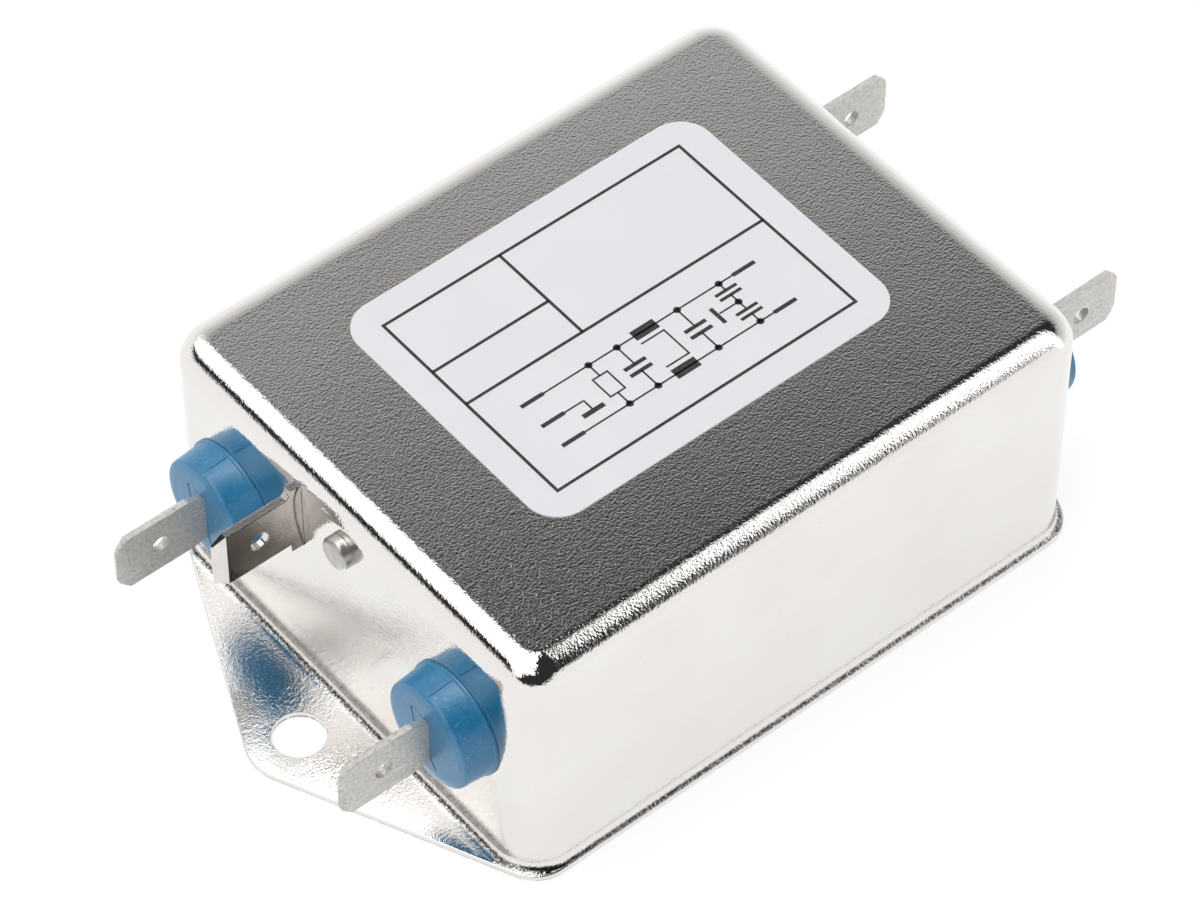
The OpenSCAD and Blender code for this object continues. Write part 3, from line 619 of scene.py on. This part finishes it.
def make_bushing(side, row, name):
    """Drafted barrel on a thin collar, its front rim sloping to a small round edge, with the mould's lines."""
    front = BARREL_R - BARREL_DRAFT
    round_r, rim_w, rim_down = 0.3, 0.5, 0.12
    back = -SHEET - 2.6
    profile = [(3.8, back), (4.2, back + 0.4), (4.2, -SHEET - 0.95), (5.0, -SHEET - 0.06), (4.6, -SHEET - 0.06)]
    profile += [(4.6, 0), (COLLAR_R - 0.06, 0), (COLLAR_R, 0.06)]
    profile += [(COLLAR_R, COLLAR_T - 0.08), (COLLAR_R - 0.05, COLLAR_T)]
    profile += [(BARREL_R + at, COLLAR_T + up) for at, up in ((0.10, 0.02), (0.02, 0.07), (-0.01, 0.18))]
    rim_at = BUSH_OUT - rim_down
    profile += arc(front - round_r, rim_at - round_r, round_r, 2, 74, 7)
    rim_r = front - round_r
    profile += [(rim_r - 0.08, rim_at + 0.015), (rim_r - 0.25, rim_at + 0.055)]
    profile += [(rim_r - rim_w, BUSH_OUT - 0.02), (rim_r - rim_w - 0.25, BUSH_OUT), (0.5, BUSH_OUT)]
    body = along_x(revolve(profile, 128), side, row * TERM_Y, TERM_Z)
    made = to_object(name + "_body", body, BLUE, name)
    out = side * WALL_X
    y = row * TERM_Y
    face = out + side * BUSH_OUT
    reach_x = sorted((out - side * 5, out + side * 5))
    low, high = TERM_Z + NECK_LOWER - BLADE_W / 2 - 0.03, TERM_Z + BLADE_W / 2 - NECK_UPPER + 0.03
    tools = [block((reach_x[0], y - BLADE_T / 2 - 0.02, low), (reach_x[1], y + BLADE_T / 2 + 0.02, high))]

    def groove(points, w, deep):
        """Groove in the front face along points given from the bushing's middle: (across, up)."""
        for (y0, z0), (y1, z1) in zip(points, points[1:]):
            along = Vector((y1 - y0, z1 - z0)).normalized()
            aside = Vector((-along.y, along.x)) * w / 2
            a, b = Vector((y0, z0)) - along * w / 3, Vector((y1, z1)) + along * w / 3
            loop = [a - aside, b - aside, b + aside, a + aside]
            ends = face - side * deep, face + side * 0.4
            rings = [[(x, y - side * p.x, TERM_Z + p.y) for p in loop] for x in ends]
            tools.append(rings_to_bmesh(rings, True, True, True))

    groove([(1.85, 2.40), (2.02, 2.34), (2.00, 2.2), (1.66, 0.6)], 0.13, 0.12)
    groove([(0.92, 2.42), (0.62, 2.30)], 0.10, 0.05)
    groove([(-0.42, -2.40), (-1.02, -3.40), (-1.22, -3.50)], 0.17, 0.15)
    for up in (-1, 1):
        x0, x1 = sorted((out + side * (COLLAR_T + 0.12), face - side * 0.02))
        z0, z1 = sorted((TERM_Z + up * (front - 0.02), TERM_Z + up * (BARREL_R + 0.6)))
        tilt = block((x0, y - 0.05, z0), (x1, y + 0.05, z1))
        for v in tilt.verts:
            if abs(v.co.z - (z0 if up > 0 else z1)) < 1e-6:
                v.co.z += up * (0.13 if abs(v.co.x - (x0 if side > 0 else x1)) < 1e-6 else -0.06)
        tools.append(tilt)
    cut(made, tools)
    made.data.set_sharp_from_angle(angle=math.radians(35))
    return made


def shape_tip(bm, start, end, tip_share, one_sided=0):
    """Thins a blade toward its tip between two places along X."""
    bmesh.ops.bisect_plane(bm, geom=bm.verts[:] + bm.edges[:] + bm.faces[:], dist=1e-4,
                           plane_co=(start, 0, 0), plane_no=(1, 0, 0))
    for v in bm.verts:
        if v.co.x > start:
            thin = 1 - (1 - tip_share) * (v.co.x - start) / (end - start)
            if one_sided:
                top = one_sided * BLADE_T / 2
                v.co.z = top + (v.co.z - top) * thin
            else:
                v.co.z *= thin


BLADE_BEVEL = 1.15
BLADE_HOLE_IN = 4.6
BLADE_HOLE_R = 0.9


def make_blade(side, row, name, material):
    """Terminal blade: chamfered and thinned tip, hole, and edges that narrow to the neck at the bushing."""
    half = BLADE_W / 2
    tip = BLADE_TIP
    root = BUSH_OUT + NECK_FROM
    outline = [(-3.0, NECK_LOWER - half), (BUSH_OUT, NECK_LOWER - half), (root, -half), (tip - BLADE_BEVEL, -half),
               (tip - 0.2, -half + BLADE_BEVEL - 0.25), (tip, -half + BLADE_BEVEL + 0.3),
               (tip, half - BLADE_BEVEL - 0.3), (tip - 0.2, half - BLADE_BEVEL + 0.25), (tip - BLADE_BEVEL, half),
               (root, half), (BUSH_OUT, half - NECK_UPPER), (-3.0, half - NECK_UPPER)]
    bm = stamped(outline, [(tip - BLADE_HOLE_IN, 0, BLADE_HOLE_R)], BLADE_T, 0.04, 0.24)
    shape_tip(bm, tip - BLADE_BEVEL, tip, 0.45)
    turn = Matrix(((side, 0, 0), (0, 0, -side), (0, 1, 0))).to_4x4()
    place = Matrix.Translation((side * WALL_X, row * TERM_Y, TERM_Z))
    bmesh.ops.transform(bm, matrix=place @ turn, verts=bm.verts)
    return to_object(name + "_blade", bm, material, name, 12.0)


def make_rivet():
    """Stud with a chamfered head and its shank through the wall."""
    r = RIVET_D / 2
    profile = [(0.9, -1.2), (0.9, 0), (r - 0.05, 0), (r, 0.05), (r, RIVET_H - 0.32)]
    profile += [(r - 0.03, RIVET_H - 0.25), (r - 0.22, RIVET_H - 0.04), (r - 0.3, RIVET_H), (0.3, RIVET_H)]
    bm = along_x(revolve(profile, 64), LINE, RIVET_Y, RIVET_Z)
    return to_object("earth_rivet_head", bm, SATIN, "earth_rivet", 25.0)


def make_label():
    """Film with rounded corners on the can's roof."""
    x, y = (label_lo.x + label_hi.x) / 2, (label_lo.y + label_hi.y) / 2
    half_l, half_w = (label_hi.x - label_lo.x) / 2, (label_hi.y - label_lo.y) / 2
    rc = 3.3
    outline = []
    for k, (sx, sy) in enumerate(((1, 1), (-1, 1), (-1, -1), (1, -1))):
        outline += arc(sx * (half_l - rc), sy * (half_w - rc), rc, 90 * k, 90 * k + 90, 14)
    bm = sheet_piece(outline, [], 0.1, 0.03, 1)
    bmesh.ops.translate(bm, vec=(x, y, label_lo.z + 0.05), verts=bm.verts)
    return to_object("label_film", bm, FILM, "label", 12.0)


INK_LOW = label_lo.z + 0.09
INK_HIGH = label_hi.z


def make_print():
    """The label's print: a frame, its dividers and the circuit, as thin raised ink."""
    bm = bmesh.new()

    def area(points):
        add(bm, prism(points, INK_LOW, INK_HIGH))

    def line(x0, y0, x1, y1, w):
        along = Vector((x1 - x0, y1 - y0))
        side = Vector((-along.y, along.x)).normalized() * w / 2
        a, b = Vector((x0, y0)), Vector((x1, y1))
        area([a - side, b - side, b + side, a + side])

    def rect(x0, x1, y0, y1):
        area([(x0, y0), (x1, y0), (x1, y1), (x0, y1)])

    def dot(x, y, r=0.36):
        area(circle(x, y, r, 20))

    def ring(x0, x1, y0, y1, w):
        line(x0 - w / 2, y0, x1 + w / 2, y0, w)
        line(x0 - w / 2, y1, x1 + w / 2, y1, w)
        line(x0, y0 + w / 2, x0, y1 - w / 2, w)
        line(x1, y0 + w / 2, x1, y1 - w / 2, w)

    # Frame and dividers
    rule = 0.3
    left, right, low, top, middle, split = -16.33, 17.4, -10.4, 13.67, 2.08, -3.33
    ring(left, right, low, top, rule)
    line(left, middle, right, middle, rule)
    line(split, middle, split, top, rule)
    line(left, 6.75, split, 6.75, rule)
    # Circuit: two lines from the line end to the load end, and earth between them
    thin, bold = 0.17, 0.42
    y_l, y_n, y_e = -1.2, -6.83, -4.04
    for y in (y_l, y_n):
        line(-10.4, y, 11.04, y, thin)
        rect(11.04, 13.6, y - bold / 2, y + bold / 2)
    for y in (y_l, y_e, y_n):
        rect(-12.9, -10.4, y - bold / 2, y + bold / 2)
    line(-10.4, y_e, -8.25, y_e, thin)
    line(-8.25, y_e, -8.25, -5.3, thin)
    rect(-9.46, -7.1, -5.7, -5.2)
    # Discharge resistor
    line(-5.37, y_l, -5.37, -2.75, thin)
    line(-5.37, -5.2, -5.37, y_n, thin)
    ring(-6.17, -4.54, -5.2, -2.75, thin)
    # Capacitors across the lines
    for x in (-2.17, 4.67):
        line(x, y_l, x, -3.67, thin)
        line(x, -4.54, x, y_n, thin)
        for y in (-3.67, -4.54):
            rect(x - 1.2, x + 1.2, y - 0.2, y + 0.2)
    # Choke: two filled coils and the core's bracket
    rect(-0.29, 2.29, -1.75, -0.58)
    rect(-0.29, 2.29, -7.4, -6.2)
    line(-0.29, -2.25, 2.29, -2.25, thin)
    line(-0.29, -5.67, 2.29, -5.67, thin)
    line(2.29, -2.25 + thin / 2, 2.29, -5.67 - thin / 2, thin)
    # Capacitors to earth
    for y in (-2.17, -2.83, -5.0, -5.67):
        rect(8.25, 10.67, y - 0.16, y + 0.16)
    line(9.46, y_l, 9.46, -2.17, thin)
    line(9.46, -2.83, 9.46, -5.0, thin)
    line(9.46, -5.67, 9.46, y_n, thin)
    line(7.25, -3.9, 9.46, -3.9, thin)
    rect(6.8, 7.2, -5.04, -2.96)
    for x in (-5.37, -2.17, 4.67, 9.46):
        for y in (y_l, y_n):
            dot(x, y)
    dot(9.46, -3.9)
    return to_object("label_print", bm, INK)


def make_earth_tab():
    """Earth blade: the blade outside, its root, the bend in the slot and the foot behind the wall."""
    half = BLADE_W / 2
    tip = -WALL_X - earth_lo.x
    zc = SLOT_Z
    root = 1.2
    root_half = (earth_hi.z - earth_lo.z) / 2
    inner = -SHEET + 0.5
    outline = [(inner, -half), (inner, -root_half), (root, -root_half), (root + 0.12, -half),
               (tip - BLADE_BEVEL, -half), (tip, -half + 0.5), (tip, half - 0.9), (tip - BLADE_BEVEL, half),
               (root + 0.35, half), (root, half + 0.35), (root - 0.1, root_half), (inner, root_half)]
    bm = sheet_piece(outline, [(tip - BLADE_HOLE_IN, 0, BLADE_HOLE_R)], BLADE_T, 0.09)
    shape_tip(bm, tip - BLADE_BEVEL, tip, 0.4, one_sided=-1)
    turn = Matrix(((-1, 0, 0), (0, 0, -1), (0, 1, 0))).to_4x4()
    centre_y = earth_hi.y - BLADE_T / 2
    bmesh.ops.transform(bm, matrix=Matrix.Translation((-WALL_X, centre_y, zc)) @ turn, verts=bm.verts)
    # The bend and the foot, as one bent strip
    bend_r = 0.5
    bx, by = -WALL_X + SHEET - bend_r, earth_hi.y - BLADE_T - bend_r
    near = arc(bx, by, bend_r, 90, 0, 8)
    far = arc(bx, by, bend_r + BLADE_T, 90, 0, 8)
    end_y = earth_lo.y
    near.append((bx + bend_r, end_y))
    far.append((bx + bend_r + BLADE_T, end_y))
    loop = near + far[::-1]
    foot = rings_to_bmesh([[(x, y, z) for x, y in loop] for z in (zc - half, zc + half)], True, True, True)
    # The coined web that fills the slot's bow
    rings = [[(x, y, z) for y, z in inset_bow(more)] for x, more in
             ((-WALL_X + SHEET, 0.07), (-WALL_X + 0.16, 0.07), (-WALL_X + 0.11, 0.12))]
    web = rings_to_bmesh(rings, True, True, True)
    add(bm, foot)
    add(bm, web)
    return to_object("earth_tab_blade", bm, EARTH_TIN, "earth_tab", 12.0)


def earth_tin():
    """Darker rolled plate of the earth blade, close to a dim mirror. Its broad -Y face carries a painted dark
    reflection, darkest at the tip and the lower edge and lighter toward the root.
    """
    s = Shader("earth_plate")
    grain = s.noise(0.2, detail=2.0)
    cloud = s.ramp(s.noise(2.2, detail=4.0), [(0.35, 0.0), (0.65, 1.0)])
    colour = s.mix(cloud, (0.66, 0.63, 0.595), (0.74, 0.715, 0.685))
    burr = s.math("MULTIPLY", s.edge(0.06), s.ramp(s.noise(0.3, detail=3.0), [(0.44, 0.0), (0.52, 1.0)]))
    # Painted reflection on the broad -Y face: a ramp by place from near black at the tip and lower edge to pale
    # toward the root, with a little noise.
    face = s.span(s.math("MULTIPLY", s.facing("Y"), -1.0), 0.93, 0.985)
    way = s.math("ADD", s.span(s.axis("X"), earth_lo.x * MM, -WALL_X * MM, 0.0, 0.75),
                 s.span(s.axis("Z"), earth_lo.z * MM, earth_hi.z * MM, 0.0, 0.25))
    way = s.math("ADD", way, s.math("MULTIPLY", s.math("SUBTRACT", s.noise(1.6, detail=4.0), 0.5), 0.35))
    painted_face_reflection = s.ramp(way, [(0.10, (0.115, 0.103, 0.092)), (0.55, (0.32, 0.295, 0.27)), (0.95, (0.56, 0.525, 0.485))])
    colour = s.mix(face, colour, painted_face_reflection)
    s.set(Base_Color=s.mix(s.math("MULTIPLY", burr, 0.85), colour, (0.03, 0.025, 0.02)), Metallic=1.0)
    s.set(Roughness=s.span(grain, 0.3, 0.7, 0.07, 0.12))
    return s.bump((grain, 0.009)).material


EARTH_TIN = earth_tin()


# Pieces that stay as the CAD has them get their materials here

HIDDEN = {
    "base_cover": nickel("cover_plate", painted_dark_lines=False),
    "resin_seal": plain("resin", (0.01, 0.01, 0.012), (0.03, 0.03, 0.034), 3.0, (0.2, 0.35)),
    "circuit_board": plain("board", (0.10, 0.16, 0.03), (0.16, 0.22, 0.05), 2.0, (0.35, 0.5)),
    "insulating_liner": plain("film", (0.62, 0.56, 0.38), (0.72, 0.66, 0.46), 4.0, (0.4, 0.6)),
    "choke_base": plain("moulding", (0.012, 0.012, 0.012), (0.03, 0.03, 0.03)),
    "choke_core": plain("ferrite", (0.02, 0.02, 0.022), (0.05, 0.05, 0.055), 0.8, (0.6, 0.8)),
    "choke_divider": plain("fibre", (0.5, 0.44, 0.3), (0.62, 0.56, 0.4), 0.8),
    "choke_winding_l": plain("enamelled_copper", (0.42, 0.12, 0.03), (0.62, 0.22, 0.06), 1.0, (0.2, 0.3), 0.004, 1.0),
    "x_capacitor_line": plain("yellow_moulding", (0.62, 0.42, 0.03), (0.74, 0.52, 0.06)),
    "y_capacitor_l": plain("blue_dip", (0.02, 0.12, 0.36), (0.05, 0.2, 0.48), 1.2, (0.25, 0.4)),
    "bleed_resistor": plain("lacquer", (0.5, 0.4, 0.24), (0.62, 0.52, 0.34), 0.8, (0.3, 0.45)),
    "line_lead_l": plain("red_sleeve", (0.4, 0.02, 0.015), (0.55, 0.05, 0.03)),
    "earth_lead": plain("green_sleeve", (0.04, 0.22, 0.03), (0.09, 0.34, 0.05)),
}
HIDDEN.update({
    "choke_winding_n": HIDDEN["choke_winding_l"], "x_capacitor_load": HIDDEN["x_capacitor_line"],
    "y_capacitor_n": HIDDEN["y_capacitor_l"], "line_lead_n": HIDDEN["line_lead_l"],
    "load_lead_l": HIDDEN["line_lead_l"], "load_lead_n": HIDDEN["line_lead_l"],
})
for name, material in HIDDEN.items():
    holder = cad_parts[name]
    holder.data.materials.clear()
    holder.data.materials.append(material)

make_can()
for side, end, material in ((LINE, "line", LINE_TIN), (LOAD, "load", LOAD_TIN)):
    for row, wire in ((1, "l"), (-1, "n")):
        make_bushing(side, row, f"{end}_bushing_{wire}")
        make_blade(side, row, f"{end}_tab_{wire}", material)
make_earth_tab()
make_rivet()
make_label()
make_print()


# Stage, light and camera

def make_floor():
    """Pale disc just under the part. It mixes in plain white wherever it isn't lighting the part, which leaves the
    shadow as faint as the photograph's."""
    steps, radius, below = 96, 700, 0.02
    bm = bmesh.new()
    bm.faces.new([bm.verts.new((x, y, -below)) for x, y in circle(0, 0, radius, steps)])
    bmesh.ops.scale(bm, vec=(MM, MM, MM), verts=bm.verts)
    mesh = bpy.data.meshes.new("floor")
    bm.to_mesh(mesh)
    bm.free()
    floor = bpy.data.objects.new("floor", mesh)
    bpy.context.scene.collection.objects.link(floor)
    material = bpy.data.materials.new("pale_floor")
    material.use_nodes = True
    tree = material.node_tree
    bsdf = tree.nodes["Principled BSDF"]
    bsdf.inputs["Base Color"].default_value = (0.97, 0.97, 0.97, 1)
    bsdf.inputs["Roughness"].default_value = 0.9
    bsdf.inputs["Specular IOR Level"].default_value = 0.0
    seen = tree.nodes.new("ShaderNodeLightPath")
    share = tree.nodes.new("ShaderNodeMath")
    share.operation = "SUBTRACT"
    share.inputs[0].default_value = 1.0
    tree.links.new(seen.outputs["Is Diffuse Ray"], share.inputs[1])
    part = tree.nodes.new("ShaderNodeMath")
    part.operation = "MULTIPLY"
    tree.links.new(share.outputs[0], part.inputs[0])
    part.inputs[1].default_value = 0.75
    paper = tree.nodes.new("ShaderNodeEmission")
    paper.inputs["Strength"].default_value = 1.09
    mix = tree.nodes.new("ShaderNodeMixShader")
    tree.links.new(part.outputs[0], mix.inputs[0])
    tree.links.new(bsdf.outputs[0], mix.inputs[1])
    tree.links.new(paper.outputs[0], mix.inputs[2])
    tree.links.new(mix.outputs[0], tree.nodes["Material Output"].inputs["Surface"])
    mesh.materials.append(material)


# Brightness of the light on the left, of its upper part, and of the light on the right
LEFT_BOX, LEFT_HIGH, RIGHT_BOX = 1.35, 3.4, 1.5


def make_world():
    """Studio light by direction: a sweep that darkens upward behind the object, a dark gap over it, a large soft
    box overhead whose lower edge leaves a dark ring, and bright surroundings below the ring."""
    world = bpy.data.worlds.new("studio")
    bpy.context.scene.world = world
    world.use_nodes = True
    tree = world.node_tree
    tree.nodes.clear()

    def node(kind, inputs=(), **values):
        made = tree.nodes.new(kind)
        for key, value in values.items():
            setattr(made, key, value)
        for key, value in inputs:
            if isinstance(value, bpy.types.NodeSocket):
                tree.links.new(value, made.inputs[key])
            else:
                made.inputs[key].default_value = value
        return made

    def calc(operation, a, b):
        return node("ShaderNodeMath", ((0, a), (1, b)), operation=operation).outputs["Value"]

    def step(value, low, high, to_low=0.0, to_high=1.0):
        inputs = (("Value", value), ("From Min", low), ("From Max", high), ("To Min", to_low), ("To Max", to_high))
        return node("ShaderNodeMapRange", inputs, interpolation_type="SMOOTHSTEP").outputs["Result"]

    def step_linear(value, low, high, to_low, to_high):
        inputs = (("Value", value), ("From Min", low), ("From Max", high), ("To Min", to_low), ("To Max", to_high))
        return node("ShaderNodeMapRange", inputs).outputs["Result"]

    def along(axis):
        return node("ShaderNodeVectorMath", ((0, way), (1, axis)), operation="DOT_PRODUCT").outputs["Value"]

    def blend(share, a, b):
        made = node("ShaderNodeMix", (("Factor", share), ("A", a), ("B", b)))
        return made.outputs["Result"]

    way = node("ShaderNodeTexCoord").outputs["Generated"]
    ahead, left, up = along((0.64, 0.77, 0)), along((-0.77, 0.64, 0)), along((0, 0, 1))
    ramp = node("ShaderNodeValToRGB", (("Fac", calc("SUBTRACT", up, calc("MULTIPLY", left, 0.245))),))
    stops = [(0.0, 1.07), (0.42, 0.80), (0.58, 0.66), (0.68, 0.53), (0.7236, 0.46), (0.736, 0.357), (0.767, 0.20),
             (0.784, 0.127), (0.81, 0.03), (1.0, 0.03)]
    points = ramp.color_ramp.elements
    while len(points) < len(stops):
        points.new(0.5)
    for point, (at, grey) in zip(points, stops):
        point.position = at
        point.color = (grey / 2, grey / 2, grey / 2, 1)
    sweep = calc("MULTIPLY", ramp.outputs["Color"], 2.0)
    side = step(calc("SUBTRACT", ahead, calc("MULTIPLY", left, 0.42)), 0.47, 0.54)
    x = along((1, 0, 0))
    limit = step_linear(calc("MULTIPLY", ahead, -1.0), 0.6, 1.0, 0.38, 0.03)
    low = step(calc("SUBTRACT", up, limit), -0.08, 0.08, 1.0, 0.0)
    ring = blend(step(x, 0.385, 0.485), 0.032, 0.60)
    front = blend(low, ring, 1.05)
    lower = calc("MULTIPLY", step(left, 0.35, 0.50, 0.0, 0.25), step(left, 0.70, 0.80, 1.0, 0.0))
    rise = calc("ADD", step(calc("ADD", up, lower), 0.60, 0.68, 0.0, LEFT_BOX), step(up, 0.86, 0.97, 0.0, LEFT_HIGH))
    left_box = calc("MULTIPLY", step(left, -0.07, -0.01), rise)
    slant = calc("ADD", up, calc("MULTIPLY", calc("SUBTRACT", x, 0.41), 3.0))
    right_box = calc("MULTIPLY", step(x, 0.33, 0.42), step(slant, 0.72, 0.82, 0.0, RIGHT_BOX))
    front = calc("MAXIMUM", calc("MAXIMUM", front, left_box), right_box)
    light = node("ShaderNodeBackground", (("Color", blend(side, front, sweep)),))
    backdrop = node("ShaderNodeBackground", (("Color", (1, 1, 1, 1)),))
    seen = node("ShaderNodeLightPath").outputs["Is Camera Ray"]
    mix = node("ShaderNodeMixShader", ((0, seen), (1, light.outputs[0]), (2, backdrop.outputs[0])))
    node("ShaderNodeOutputWorld", (("Surface", mix.outputs[0]),))


def make_camera():
    """Camera at the photograph's place; the focal length and centre are in pixels of a 1200 x 906 picture."""
    width, height, focal = 1200, 906, 5374.24
    centre_x, centre_y = 616.56, 450.61
    place = Vector((-198.2, -235.6, 382.2)) * MM
    ahead = Vector((0.4098, 0.4899, -0.7695)).normalized()
    right = Vector((0.7701, -0.6379, 0.0041))
    right = (right - ahead * right.dot(ahead)).normalized()
    up = right.cross(ahead)
    data = bpy.data.cameras.new("camera")
    data.sensor_fit, data.sensor_width = "HORIZONTAL", 36.0
    data.lens = focal * data.sensor_width / width
    data.shift_x = (width / 2 - centre_x) / width
    data.shift_y = (centre_y - height / 2) / width
    data.clip_start, data.clip_end = 0.02, 20.0
    camera = bpy.data.objects.new("camera", data)
    bpy.context.scene.collection.objects.link(camera)
    axes = Matrix((right, up, -ahead)).transposed().to_4x4()
    camera.matrix_world = Matrix.Translation(place) @ axes
    bpy.context.scene.camera = camera


make_floor()
make_world()
make_camera()
bpy.context.scene.view_settings.view_transform = "Standard"
